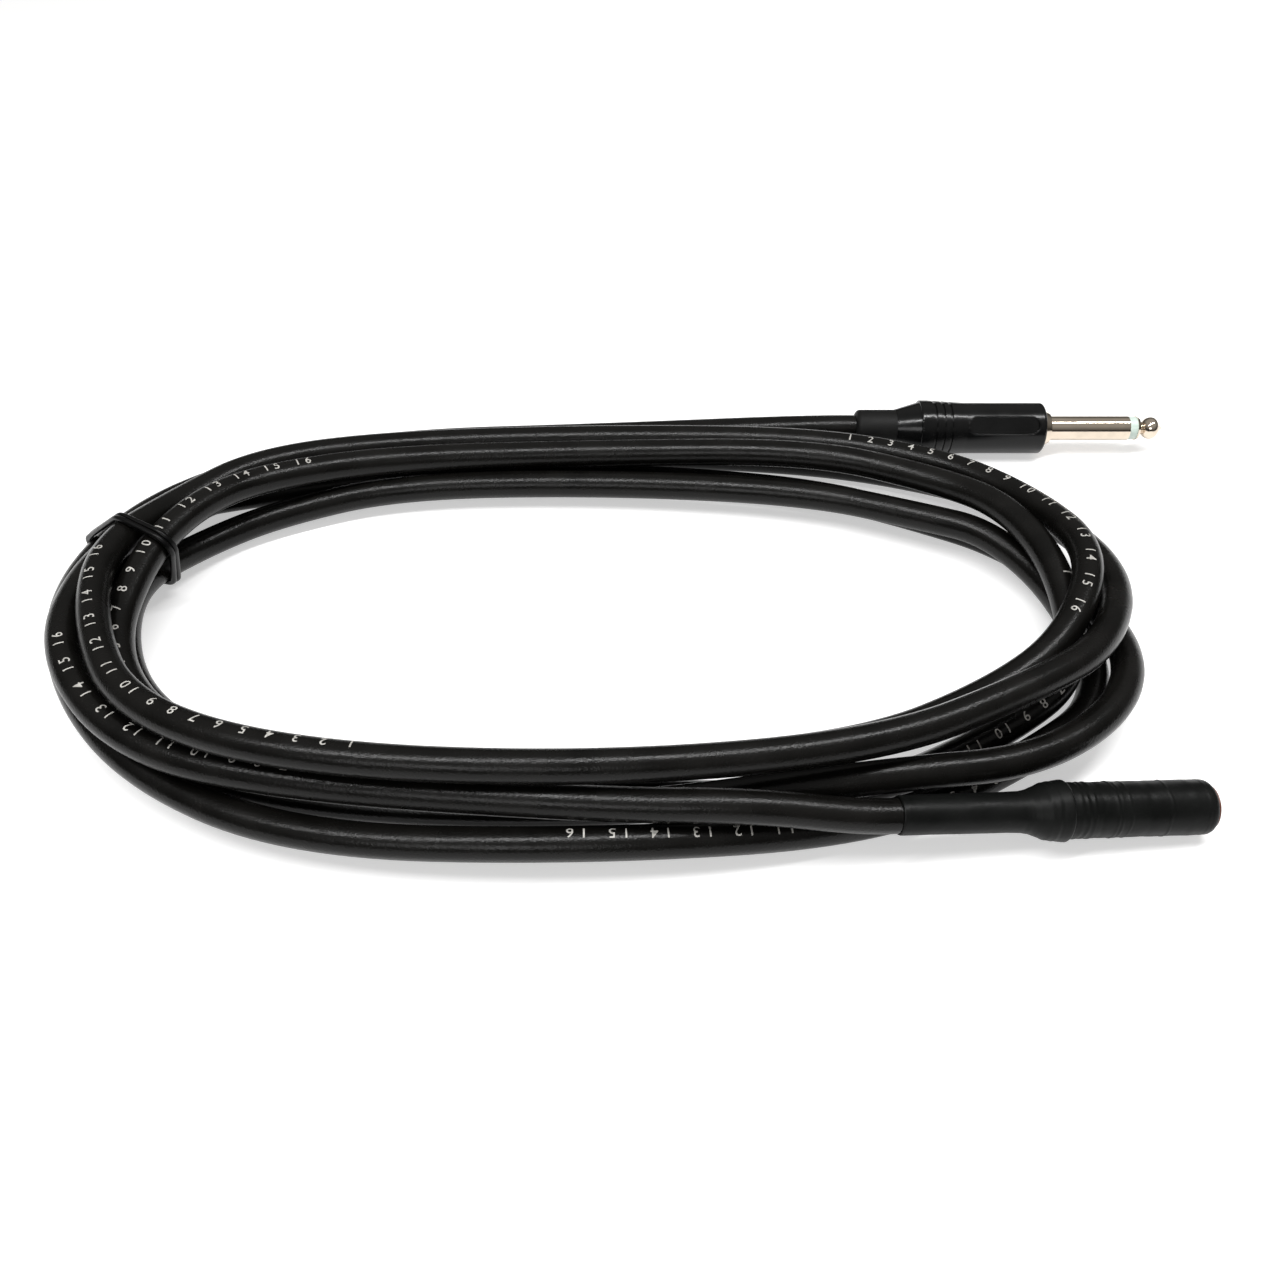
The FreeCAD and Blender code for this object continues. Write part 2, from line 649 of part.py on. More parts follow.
def plug_wiring():
    """Stripped cable end in the plug: jacket, shield with pigtail, core, conductor and solder."""
    rear = LEAD_REAR_X
    jacket = ring(rear, LEAD_FRONT_X, SHIELD_D / 2 + CORE_GAP, CABLE_R)
    shield = ring(rear, SHIELD_END_X, CORE_D / 2 + CORE_GAP, SHIELD_D / 2)
    wall_r = (SHIELD_D + CORE_D) / 4
    leg_z = -LUG_IN_R + PIGTAIL_D / 2 + FIT
    pigtail = wire_cord([
        Vector(SHIELD_END_X - 0.8, 0, -wall_r),
        Vector(SHIELD_END_X + 1.2, 0, -wall_r),
        Vector(SHIELD_END_X + 3.0, 0, leg_z),
        Vector(SHIELD_END_X + PIGTAIL_REACH, 0, leg_z),
    ], PIGTAIL_D)
    pigtail = pigtail.cut(rod(rear, CORE_END_X, CORE_D / 2 + CORE_GAP))
    pigtail = pigtail.cut(ring(rear, LEAD_FRONT_X + 0.1, SHIELD_D / 2, CABLE_D))
    shield = shield.fuse(pigtail)
    core = ring(rear, CORE_END_X, CONDUCTOR_D / 2 + CORE_GAP, CORE_D / 2)
    tab_z = TIP_LUG_D / 2 - TIP_LUG_T - CONDUCTOR_D / 2 - FIT
    tab_x = THREAD_REAR_X - LUG_T - WASHER_T - TIP_LUG_T - TIP_LUG_TAB
    conductor = wire_cord([
        Vector(rear, 0, 0),
        Vector(CORE_END_X + 1.5, 0, 0),
        Vector(tab_x + 0.6, 0, tab_z),
        Vector(tab_x + 3.6, 0, tab_z),
    ], CONDUCTOR_D)
    solder = []
    for x, z, wire in ((tab_x + 2.6, tab_z, conductor), (SHIELD_END_X + PIGTAIL_REACH - 1, leg_z, shield)):
        blob = Part.makeSphere(SOLDER_R, Vector(x, 0, z))
        blob = blob.cut(wire)
        blob = blob.cut(plug_tip_lug())
        blob = blob.cut(plug_ground_lug())
        solder.append(max(blob.Solids, key=lambda solid: solid.Volume))
    return jacket, shield, core, conductor, Part.makeCompound(solder)


def socket_sleeve():
    """Metal tube that takes the plug's shaft."""
    front = SOCKET_LENGTH - SOCKET_MOUTH_SETBACK
    bore = SOCKET_BORE_D / 2
    return turned([
        (SOCKET_SLEEVE_REAR_X, bore),
        (front - 0.4, bore),
        (front, bore + 0.4),
        (front, SOCKET_D / 2 - 0.3),
        (front - 0.3, SOCKET_D / 2),
        (SOCKET_SLEEVE_REAR_X, SOCKET_D / 2),
    ])


def spring_slot():
    """Way through the body's wall for the tip spring and its strip."""
    half = SPRING_WIDTH / 2 + SLOT_CLEARANCE
    return block(SPRING_REAR_X - 0.9, SPRING_FRONT_X + 0.6, -half, half, 2.0, SOCKET_D)


def socket_body():
    """Insulating rear body with a closed back, a slot for the spring and a groove for the ground strip."""
    bore = SOCKET_BODY_BORE_D / 2
    body = turned([
        (SOCKET_BODY_REAR_X, 0),
        (SOCKET_WALL_FRONT_X - 0.01, 0),
        (SOCKET_WALL_FRONT_X, bore),
        (SOCKET_SLEEVE_REAR_X, bore),
        (SOCKET_SLEEVE_REAR_X, SOCKET_D / 2),
        (SOCKET_BODY_REAR_X, SOCKET_D / 2),
    ])
    half = LUG_STRIP_WIDTH / 2 + FIT
    top = TIP_STRIP_Z + LUG_STRIP_T + FIT
    body = body.cut(block(SOCKET_BODY_REAR_X - 1, SPRING_REAR_X, -half, half, TIP_STRIP_Z - FIT, top))
    body = body.cut(spring_slot())
    groove_top = GROUND_STRIP_Z + LUG_STRIP_T + FIT
    groove = block(SOCKET_BODY_REAR_X - 1, SOCKET_SLEEVE_REAR_X + 1, -half, half, -SOCKET_D, groove_top)
    return body.cut(groove)


def socket_tip_spring():
    """Bent leaf that presses on the plug's tip."""
    t = SPRING_T
    top = [
        (SPRING_REAR_X, SPRING_REAR_Z + t),
        (SPRING_BEND_X, SPRING_DIP_Z + t),
        (SPRING_FRONT_X, SPRING_FRONT_Z + t),
    ]
    low = [(x, z - t) for x, z in reversed(top)]
    corners = [Vector(x, -SPRING_WIDTH / 2, z) for x, z in top + low]
    face = Part.Face(Part.makePolygon(corners + corners[:1]))
    return face.extrude(Vector(0, SPRING_WIDTH, 0))


def socket_tip_lug():
    """Strip that holds the tip spring and takes the core's wire."""
    half = LUG_STRIP_WIDTH / 2
    return block(SOCKET_LUG_REAR_X, SPRING_REAR_X - FIT, -half, half, TIP_STRIP_Z, TIP_STRIP_Z + LUG_STRIP_T)


def socket_ground_lug():
    """Strip along the body that joins the metal tube to the shield."""
    half = LUG_STRIP_WIDTH / 2
    top = GROUND_STRIP_Z + LUG_STRIP_T
    front = SOCKET_SLEEVE_REAR_X
    return block(SOCKET_LUG_REAR_X + 2.2, front, -half, half, GROUND_STRIP_Z, top)


def socket_wiring():
    """Stripped cable end in the socket: jacket, shield with pigtail, core, conductor and solder."""
    rear = SOCKET_LEAD_REAR_X
    jacket = ring(rear, SOCKET_LEAD_FRONT_X, SHIELD_D / 2 + CORE_GAP, CABLE_R)
    shield = ring(rear, SOCKET_SHIELD_END_X, CORE_D / 2 + CORE_GAP, SHIELD_D / 2)
    wall_r = (SHIELD_D + CORE_D) / 4
    strip_z = GROUND_STRIP_Z + LUG_STRIP_T + PIGTAIL_D / 2 + FIT
    strip_x = SOCKET_LUG_REAR_X + 2.2
    pigtail = wire_cord([
        Vector(SOCKET_SHIELD_END_X - 0.8, 0, -wall_r),
        Vector(SOCKET_SHIELD_END_X + 2.5, 0, -wall_r),
        Vector(strip_x - 0.6, 0, strip_z),
        Vector(SOCKET_BODY_REAR_X - 0.1, 0, strip_z),
    ], PIGTAIL_D)
    pigtail = pigtail.cut(rod(rear, SOCKET_CORE_END_X, CORE_D / 2 + CORE_GAP))
    pigtail = pigtail.cut(ring(rear, SOCKET_LEAD_FRONT_X + 0.1, SHIELD_D / 2, CABLE_D))
    shield = shield.fuse(pigtail)
    core = ring(rear, SOCKET_CORE_END_X, CONDUCTOR_D / 2 + CORE_GAP, CORE_D / 2)
    wire_z = TIP_STRIP_Z - CONDUCTOR_D / 2 - FIT
    conductor = wire_cord([
        Vector(rear, 0, 0),
        Vector(SOCKET_CORE_END_X + 1.8, 0, 0),
        Vector(SOCKET_LUG_REAR_X + 0.4, 0, wire_z),
        Vector(SOCKET_BODY_REAR_X - 0.3, 0, wire_z),
    ], CONDUCTOR_D)
    solder = []
    for x, z, wire in ((SOCKET_LUG_REAR_X + 2.0, wire_z, conductor), (strip_x + 0.2, strip_z, shield)):
        blob = Part.makeSphere(0.8 * SOLDER_R, Vector(x, 0, z))
        blob = blob.cut(wire)
        blob = blob.cut(socket_tip_lug())
        blob = blob.cut(socket_ground_lug())
        solder.append(max(blob.Solids, key=lambda solid: solid.Volume))
    return jacket, shield, core, conductor, Part.makeCompound(solder)


def socket_neck_shrink():
    """Shrunk sleeve over the cable that flares over the socket's rear edge."""
    inner = CABLE_R + SHRINK_FIT
    neck_r = NECK_SHRINK_FRONT_D / 2
    body_r = SOCKET_D / 2 + SHRINK_FIT + SHRINK_WALL + SHRINK_FIT
    lip_r = body_r + SHRINK_WALL
    return turned([
        (0, inner),
        (NECK_STRAIGHT_X - 1.5, inner),
        (FLARE_X, body_r),
        (FLARE_LIP_X, body_r),
        (FLARE_LIP_X, lip_r - 0.2),
        (FLARE_LIP_X - 0.2, lip_r),
        (FLARE_LIP_X - 1.3, lip_r - 0.1),
        (FLARE_X, lip_r - 0.25),
        (NECK_STRAIGHT_X, neck_r),
        (0, inner + 0.3),
    ])


def socket_body_shrink():
    """Shrunk sleeve over the socket, wrinkled and turned in round the mouth."""
    inner = SOCKET_D / 2 + SHRINK_FIT
    r = inner + SHRINK_WALL
    front = SOCKET_LENGTH
    sleeve_front = front - SOCKET_MOUTH_SETBACK + SHRINK_FIT
    outline = [
        (BODY_SHRINK_REAR_X, inner),
        (sleeve_front, inner),
        (sleeve_front, SEAL_OUT_R),
        (front, SEAL_OUT_R),
        (front - 0.2 * MOUTH_ROUND, r - 0.35 * MOUTH_ROUND, front - MOUTH_ROUND, r),
        (WRINKLE_FRONT_X, r),
    ]
    step = (WRINKLE_FRONT_X - FLARE_LIP_X) / WRINKLES
    for k in range(WRINKLES):
        x = WRINKLE_FRONT_X - step * k
        high = r + WRINKLE_HEIGHT * (1 + k % 3) / 2
        outline.append((x - step / 2, high, x - step, r))
    outline.append((BODY_SHRINK_REAR_X, r))
    return turned(outline)


def socket_seal():
    """Thin ring of sealant that shows round the mouth."""
    rear = SOCKET_LENGTH - SOCKET_MOUTH_SETBACK + SHRINK_FIT
    return ring(rear, rear + SEAL_T, SEAL_IN_R, SEAL_OUT_R)


def build():
    """All the named solids, with the coil's centre line laid out on the ground plane."""
    edges, radii, spine_points = coil_spine()
    jacket, shield, core, conductor, solder = plug_wiring()
    at_plug = {
        "plug_sleeve": plug_sleeve(),
        "plug_tip": plug_tip(),
        "plug_tip_ring": plug_tip_ring(),
        "plug_rod_tube": plug_rod_tube(),
        "plug_ground_lug": plug_ground_lug(),
        "plug_washer": plug_washer(),
        "plug_tip_lug": plug_tip_lug(),
        "plug_liner": plug_liner(),
        "plug_barrel": plug_barrel(),
        "plug_chuck": plug_chuck(),
        "plug_boot": plug_boot(),
        "plug_lead_jacket": jacket,
        "plug_lead_shield": shield,
        "plug_core_insulation": core,
        "plug_core_conductor": conductor,
        "plug_solder": solder,
    }
    jacket, shield, core, conductor, solder = socket_wiring()
    at_socket = {
        "socket_sleeve": socket_sleeve(),
        "socket_body": socket_body(),
        "socket_tip_spring": socket_tip_spring(),
        "socket_tip_lug": socket_tip_lug(),
        "socket_ground_lug": socket_ground_lug(),
        "socket_lead_jacket": jacket,
        "socket_lead_shield": shield,
        "socket_core_insulation": core,
        "socket_core_conductor": conductor,
        "socket_solder": solder,
        "socket_neck_shrink": socket_neck_shrink(),
        "socket_body_shrink": socket_body_shrink(),
        "socket_seal": socket_seal(),
    }
    for shape in at_plug.values():
        shape.translate(PLUG_AT)
    for shape in at_socket.values():
        to_socket(shape)
    nodes = {"cable_coil": cable_coil(), "cable_tie": cable_tie(spine_points)}
    nodes.update(at_plug)
    nodes.update(at_socket)
    return nodes, spine_points


def origin_shift(spine_points):
    """Move that puts the origin under the middle of the part's box."""
    low_x = min(point.x for point in spine_points) - CABLE_R
    low_y = min(point.y for point in spine_points) - CABLE_R
    high_x = PLUG_SHOULDER_X + TIP_X
    high_y = PLUG_Y + BARREL_RING_D / 2
    return Vector(-(low_x + high_x) / 2, -(low_y + high_y) / 2, 0)


nodes, spine_points = build()
shift = origin_shift(spine_points)
print("shift %.3f %.3f" % (shift.x, shift.y))
for name, shape in nodes.items():
    shape.translate(shift)
    shape.exportStep("parts/" + name + ".step")
    box = shape.BoundBox
    print("%-24s solids %d valid %s volume %8.1f z %.2f to %.2f" % (
        name, len(shape.Solids), shape.isValid(), shape.Volume, box.ZMin, box.ZMax))
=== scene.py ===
import bisect
import json
import math

import bmesh
import bpy
from mathutils import Matrix, Vector, noise


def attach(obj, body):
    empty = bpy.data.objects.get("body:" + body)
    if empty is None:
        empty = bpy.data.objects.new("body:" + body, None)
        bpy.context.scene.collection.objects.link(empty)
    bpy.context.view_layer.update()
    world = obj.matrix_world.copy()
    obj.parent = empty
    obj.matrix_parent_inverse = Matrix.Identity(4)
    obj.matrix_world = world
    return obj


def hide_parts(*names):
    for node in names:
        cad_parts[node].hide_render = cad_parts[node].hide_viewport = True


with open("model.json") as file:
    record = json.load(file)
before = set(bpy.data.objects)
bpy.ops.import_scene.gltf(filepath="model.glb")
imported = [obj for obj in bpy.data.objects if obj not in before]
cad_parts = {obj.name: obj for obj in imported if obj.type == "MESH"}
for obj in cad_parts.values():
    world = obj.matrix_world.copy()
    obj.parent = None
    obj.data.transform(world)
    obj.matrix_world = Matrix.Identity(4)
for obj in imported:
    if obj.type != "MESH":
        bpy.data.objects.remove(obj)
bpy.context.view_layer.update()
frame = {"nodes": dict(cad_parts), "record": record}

MM = 0.001

# Cable and the oval that its turns follow, in millimetres, as in the part's source
CABLE_D = 6.8
CABLE_R = CABLE_D / 2
OVAL_HALF_LENGTH = 118.5
OVAL_HALF_WIDTH = 67.0
OVAL_POWER = 2.4
COIL_TURNS = [
    [(281, -1.0, 11.5), (270, 1.0, 11.5), (247.5, 1.5, 11.5), (225, -1.0, 12.5), (202.5, 2.0, 14.0),
     (180, 5.5, 10.0), (157.5, 9.0, 6.0), (135, 12.0, 2.5), (112.5, 13.5, 0.0), (90, 16.5, 0.0),
     (67.5, 18.5, 0.0), (45, 19.5, 0.0), (22.5, 15.5, 0.0), (0, 5.0, 1.0), (337.5, -0.5, 7.0),
     (315, -0.5, 8.0), (292.5, 5.0, 8.5)],
    [(270, 5.5, 4.0), (247.5, 4.5, 2.5), (225, 4.0, 0.0), (202.5, 5.0, 0.0), (180, 6.0, 0.0),
     (157.5, 4.5, 0.0), (135, 4.5, 0.0), (112.5, 5.5, 0.0), (90, 6.5, 0.0), (67.5, 6.0, 0.0),
     (45, 4.5, 1.0), (22.5, 3.0, 4.0), (0, 3.0, 10.0), (337.5, 7.0, 15.0), (315, 9.0, 17.0),
     (292.5, 7.0, 17.0)],
    [(270, 4.0, 18.5), (247.5, 2.0, 19.5), (225, 3.0, 19.0), (202.5, 9.5, 18.0), (180, 11.0, 15.5),
     (157.5, 14.0, 11.5), (135, 11.5, 11.0), (112.5, 10.0, 8.5), (90, 9.0, 7.0), (67.5, 8.0, 8.0),
     (45, 8.0, 9.5), (22.5, 9.5, 11.5), (0, 10.0, 16.0), (337.5, 14.5, 13.5), (315, 16.5, 9.5),
     (292.5, 15.5, 7.0)],
    [(270, 13.0, 7.5), (247.5, 9.5, 8.0), (225, 8.0, 8.0), (202.5, 12.0, 9.5), (180, 18.0, 12.5),
     (157.5, 21.5, 13.5), (135, 19.5, 12.0), (112.5, 18.0, 9.5), (90, 17.0, 8.0), (67.5, 16.5, 10.0),
     (45, 17.5, 11.0), (22.5, 18.0, 12.5), (0, 15.0, 10.0), (337.5, 11.5, 4.5), (315, 12.0, 1.0),
     (292.5, 9.5, 0.0)],
    [(270, 12.0, 0.0), (247.5, 12.0, 0.0), (225, 12.0, 0.0), (202.5, 12.5, 2.0), (180, 13.5, 3.5),
     (157.5, 18.0, 0.0), (135, 20.0, 1.0), (112.5, 21.0, 2.5), (90, 23.5, 3.0), (67.5, 25.0, 4.0),
     (45, 25.0, 5.0), (22.5, 21.0, 5.5), (0, 13.0, 2.5), (337.5, 5.0, 0.0), (315, 4.5, 0.0),
     (292.5, 0.0, 1.5)],
    [(270, -3.5, 5.0), (247.5, -4.5, 4.0), (225, -2.0, 5.0), (202.5, 1.0, 6.5), (180, -1.0, 3.5),
     (157.5, -3.0, 0.0), (135, -3.0, 0.0), (112.5, -2.5, 0.0), (90, -1.0, 1.0)],
]

# Thin tie round the bundle, and the room under the bundle for it
TIE_ANGLE = 170
TIE_D = 1.3
TIE_GAP = 0.7
TIE_FLOOR_GAP = 0.4
TIE_LIFT_SPAN = 60
TIE_PITCH = 1.4
TIE_SLACK = 0.2
# How the tie's plane leans along the cable: at the floor, per millimetre of height, per millimetre inward
TIE_LEAN = (2.5, -0.20, -0.25)

# Where the ends and the camera are, measured from the middle of the oval, and where that middle is
OVAL_AT = Vector((-12.928, -0.116, 0))
PLUG_AT = Vector((118.6, 67.2, 7.35))
CABLE_AT_PLUG = -50.0
STRAIGHT_AT_PLUG = 16.0
SOCKET_AT = Vector((58.2, -65.8, 10.9))
SOCKET_YAW = 5.8
SOCKET_PITCH = 4.9
CABLE_AT_SOCKET = 2.0
STRAIGHT_AT_SOCKET = 9.0
CAMERA_AT = Vector((9.5, -211.0, 197.1))
CAMERA_TILT = 46
CAMERA_LENS = 34.86

# Shrunk sleeves of the socket: (x, r) along its axis, from the inside of the rear edge round the outside
NECK_SLEEVE = [
    (0.0, 3.46), (0.0, 3.70), (0.25, 3.80), (6.0, 3.82), (14.0, 3.86), (21.0, 3.90), (24.0, 4.00),
    (25.5, 4.28), (27.0, 4.85), (28.5, 5.42), (29.8, 5.74), (31.2, 5.86), (32.0, 5.98), (32.5, 5.98),
    (32.75, 5.82), (32.75, 5.50), (29.4, 5.46), (23.0, 3.46),
]
BODY_SLEEVE = [
    (29.6, 4.90), (29.6, 5.38), (33.0, 5.40), (61.0, 5.40), (61.5, 5.32), (61.9, 5.13), (62.2, 4.87),
    (62.4, 4.52), (62.48, 4.20), (61.9, 4.17), (61.9, 4.90),
]
# Creases pressed into the sleeves: (x, width, height, waviness)
NECK_CREASES = [
    (1.1, 0.35, 0.05, 0.1), (26.0, 0.5, 0.06, 0.4), (28.3, 0.45, 0.10, 0.5), (30.4, 0.4, -0.10, 0.3),
]
BODY_CREASES = [
    (34.2, 0.45, 0.16, 0.35), (35.6, 0.30, 0.14, 0.3), (36.9, 0.30, 0.13, 0.3), (38.6, 0.5, -0.07, 0.6),
    (41.5, 0.28, 0.15, 0.35), (42.4, 0.25, 0.11, 0.3), (44.1, 0.16, 0.10, 0.5), (48.3, 0.9, -0.06, 0.8),
    (52.4, 0.20, 0.12, 0.5), (57.4, 0.8, 0.05, 0.9), (60.2, 0.25, 0.06, 0.3),
]
MOUTH_BEAD = [
    (61.9, 3.60), (61.9, 4.14), (62.5, 4.16), (62.72, 4.42), (62.90, 4.30), (62.85, 4.00), (62.4, 3.72),
]
# Creases are pressed only into a sleeve's outside, past these distances from its axis. The neck's bore widens
# from the first to the second place along it, by the third number per millimetre.
NECK_BORE_R = 3.6
NECK_TAPER = (23.0, 29.4, 0.3)
BODY_BORE_R = 5.2
BEAD_BORE_R = 4.1

# Numerals on the jacket, in millimetres. Each run has its start along the cable, and its lean from the top at
# its start and its end, in degrees to the coil's outside. Some runs are turned under the cable.
NUMERAL_SIZE = 3.1
NUMERAL_PITCH = 2.6
LAST_NUMBER = 16
INK_LIFT = 0.03
NUMERAL_RUNS = [
    (87, -20, 0), (365, 150, 170), (663, 170, 190), (961, 160, 150), (1259, -18, 8), (1558, -10, 0),
    (1855, 0, -8), (2153, 15, 45), (2438, 160, 180), (2722, 45, -5), (3020, 150, 130),
]

# Recessed panel of the plug's barrel, along the plug's axis from its front collar
BARREL_R = 6.7
PANEL_REAR = -22.7
PANEL_FRONT = -3.9
PANEL_HALF = 2.35
PANEL_TURN = 50
PANEL_EDGE_D = 0.40

# Finishes: two close colours, roughness from and to, grain per metre, share of pebbles, grain depth in mm
FINISHES = {
    "jacket": dict(
        colours=((0.0025, 0.0024, 0.0021), (0.0048, 0.0045, 0.0040)),
        roughness=(0.22, 0.31), grain=2300, pebbles=0.50,
        depth=0.060, patches=110, specular=0.17, dust=0.08),
    "tie": dict(
        colours=((0.0016, 0.0016, 0.0017), (0.0034, 0.0034, 0.0034)),
        roughness=(0.26, 0.36), grain=3000, pebbles=0.3,
        depth=0.020, patches=300, specular=0.14),
    "nickel": dict(
        colours=((0.67, 0.58, 0.48), (0.59, 0.51, 0.42)),
        roughness=(0.07, 0.15), grain=2600, pebbles=0.0,
        depth=0.002, patches=260, metallic=1.0, turned=True),
    "black_metal": dict(
        colours=((0.0024, 0.0025, 0.0026), (0.0044, 0.0045, 0.0046)),
        roughness=(0.15, 0.23), grain=1800, pebbles=0.4,
        depth=0.020, patches=160, specular=0.22, dust=0.08),
    "boot_rubber": dict(
        colours=((0.0034, 0.0034, 0.0033), (0.0060, 0.0060, 0.0058)),
        roughness=(0.48, 0.62), grain=2200, pebbles=0.5,
        depth=0.035, patches=150, specular=0.16, dust=0.10),
    "shrink": dict(
        colours=((0.0026, 0.0029, 0.0027), (0.0046, 0.0050, 0.0047)),
        roughness=(0.36, 0.48), grain=1300, pebbles=0.2,
        depth=0.025, patches=120, specular=0.11, dust=0.07),
    "insulator": dict(
        colours=((0.62, 0.72, 0.66), (0.50, 0.61, 0.55)),
        roughness=(0.30, 0.50), grain=2400, pebbles=0.2,
        depth=0.010, patches=420),
    "liner_card": dict(
        colours=((0.040, 0.040, 0.040), (0.060, 0.060, 0.058)),
        roughness=(0.60, 0.75), grain=2000, pebbles=0.3,
        depth=0.020, patches=200),
    "brass": dict(
        colours=((0.72, 0.55, 0.27), (0.60, 0.44, 0.20)),
        roughness=(0.22, 0.36), grain=1700, pebbles=0.2,
        depth=0.006, patches=240, metallic=1.0),
    "copper": dict(
        colours=((0.72, 0.36, 0.22), (0.58, 0.27, 0.16)),
        roughness=(0.25, 0.40), grain=3600, pebbles=0.5,
        depth=0.030, patches=300, metallic=1.0),
    "core_insulation": dict(
        colours=((0.72, 0.72, 0.70), (0.64, 0.64, 0.61)),
        roughness=(0.35, 0.48), grain=1900, pebbles=0.2,
        depth=0.008, patches=260),
    "solder": dict(
        colours=((0.58, 0.58, 0.58), (0.48, 0.48, 0.49)),
        roughness=(0.18, 0.36), grain=1500, pebbles=0.4,
        depth=0.020, patches=500, metallic=1.0),
    "sealant": dict(
        colours=((0.16, 0.045, 0.022), (0.10, 0.030, 0.016)),
        roughness=(0.30, 0.45), grain=1600, pebbles=0.3,
        depth=0.020, patches=400),
    "numeral ink": dict(
        colours=((0.50, 0.49, 0.46), (0.30, 0.29, 0.27)),
        roughness=(0.45, 0.60), grain=2200, pebbles=0.4,
        depth=0.010, patches=900),
}
RELIEF_STRENGTH = 0.8
DUST_COLOUR = (0.09, 0.085, 0.08, 1)
DUST_GRAINS = 2100
DUST_FROM_TO = (0.66, 0.80)
PATCH_FROM_TO = (0.32, 0.68)

# Floor, how much it glows to the camera and in reflections, and the world's light from low to high
FLOOR_COLOUR = (0.74, 0.74, 0.74, 1)
FLOOR_GLOW = 0.48
FLOOR_SIZE = 6
WORLD_COLOUR = (1, 0.985, 0.96, 1)
WORLD_HEIGHTS = (0.12, 0.75)
WORLD_STRENGTHS = (0.03, 0.42)
# Lamps: place and size in metres, power in watts
SOFTBOXES = {
    "overhead softbox": ((0.03, -0.07, 0.60), (0.90, 0.035), 5.4),
    "front softbox": ((-0.20, -0.80, 0.50), (0.40, 0.25), 1.6),
}


def camera_at_photo():
    """Camera at the photograph's place: above the front of the table, looking 44 degrees down."""
    lens = bpy.data.cameras.new("camera")
    lens.lens = CAMERA_LENS
    lens.sensor_width = 36
    lens.clip_start = 0.01
    camera = bpy.data.objects.new("camera", lens)
    camera.location = in_frame(CAMERA_AT)
    camera.rotation_euler = (math.radians(CAMERA_TILT), 0, 0)
    bpy.context.scene.collection.objects.link(camera)
    bpy.context.scene.camera = camera


def oval_point(angle, inset):
    """Point on the oval line in millimetres, moved inward along the line's normal."""
    c = math.cos(math.radians(angle))
    s = math.sin(math.radians(angle))
    x = OVAL_HALF_LENGTH * math.copysign(abs(c) ** (2 / OVAL_POWER), c)
    y = OVAL_HALF_WIDTH * math.copysign(abs(s) ** (2 / OVAL_POWER), s)
    slope_x = math.copysign(abs(x / OVAL_HALF_LENGTH) ** (OVAL_POWER - 1), x) / OVAL_HALF_LENGTH
    slope_y = math.copysign(abs(y / OVAL_HALF_WIDTH) ** (OVAL_POWER - 1), y) / OVAL_HALF_WIDTH
    return Vector((x, y, 0)) - Vector((slope_x, slope_y, 0)).normalized() * inset


def tie_lift(angle):
    """Height that the tie under the bundle adds at an angle round the oval."""
    away = abs(angle - TIE_ANGLE)
    if away >= TIE_LIFT_SPAN:
        return 0
    return (TIE_D + TIE_GAP + TIE_FLOOR_GAP) * (1 + math.cos(math.pi * away / TIE_LIFT_SPAN)) / 2


def in_frame(point):
    """Point measured in millimetres from the oval's middle, in the frame and in metres."""
    return (point + OVAL_AT) * MM


def socket_matrix():
    """Placement of the socket's own axis, from millimetres along it to metres in the frame."""
    yaw = Matrix.Rotation(math.radians(SOCKET_YAW), 4, "Z")
    pitch = Matrix.Rotation(math.radians(SOCKET_PITCH), 4, "Y")
    return Matrix.Translation(in_frame(SOCKET_AT)) @ (yaw @ pitch) @ Matrix.Scale(MM, 4)


def plug_matrix():
    """Placement of the plug's own axis."""
    return Matrix.Translation(in_frame(PLUG_AT)) @ Matrix.Scale(MM, 4)


def cable_stations():
    """Points that the cable passes through, from the socket to the plug, in the frame."""
    socket = socket_matrix()
    plug = plug_matrix()
    points = [socket @ Vector((x, 0, 0)) for x in (CABLE_AT_SOCKET, CABLE_AT_SOCKET - STRAIGHT_AT_SOCKET)]
    for turn in COIL_TURNS:
        for angle, inset, height in turn:
            lift = Vector((0, 0, CABLE_R + height + tie_lift(angle)))
            points.append(in_frame(oval_point(angle, inset) + lift))
    points.append(plug @ Vector((CABLE_AT_PLUG - STRAIGHT_AT_PLUG, 0, 0)))
    points.append(plug @ Vector((CABLE_AT_PLUG, 0, 0)))
    return points


def pushed_out(points, passes=4):
    """Control points of a smooth line that passes through the given points and stays on the floor."""
    control = list(points)
    for _ in range(passes):
        moved = [
            points[k] - (control[k - 1] - 2 * control[k] + control[k + 1]) / 8
            for k in range(1, len(points) - 1)
        ]
        control = [points[0]] + moved + [points[-1]]
    for point in control:
        point.z = max(point.z, CABLE_R * MM)
    return control


def cord_curve(name, points, diameter, smoothness=14):
    """Smooth round cord along control points, in metres."""
    curve = bpy.data.curves.new(name, "CURVE")
    curve.dimensions = "3D"
    spline = curve.splines.new("NURBS")
    spline.points.add(len(points) - 1)
    for point, place in zip(spline.points, points):
        point.co = (*place, 1)
    spline.order_u = 3
    spline.use_endpoint_u = True
    spline.resolution_u = smoothness
    curve.bevel_depth = diameter / 2
    curve.bevel_resolution = 8
    curve.use_fill_caps = True
    piece = bpy.data.objects.new(name, curve)
    bpy.context.scene.collection.objects.link(piece)
    return piece


def line_of(cord):
    """Points along the middle of a cord, read from its spline."""
    thin = cord.data.copy()
    thin.bevel_depth = 0
    holder = bpy.data.objects.new("middle", thin)
    drawn = bpy.data.meshes.new_from_object(holder)
    points = [vertex.co.copy() for vertex in drawn.vertices]
    bpy.data.objects.remove(holder)
    bpy.data.meshes.remove(drawn)
    bpy.data.curves.remove(thin)
    return points


def travelled(points):
    """Distance along a line at each of its points."""
    way = [0.0]
    for here, after in zip(points, points[1:]):
        way.append(way[-1] + (after - here).length)
    return way


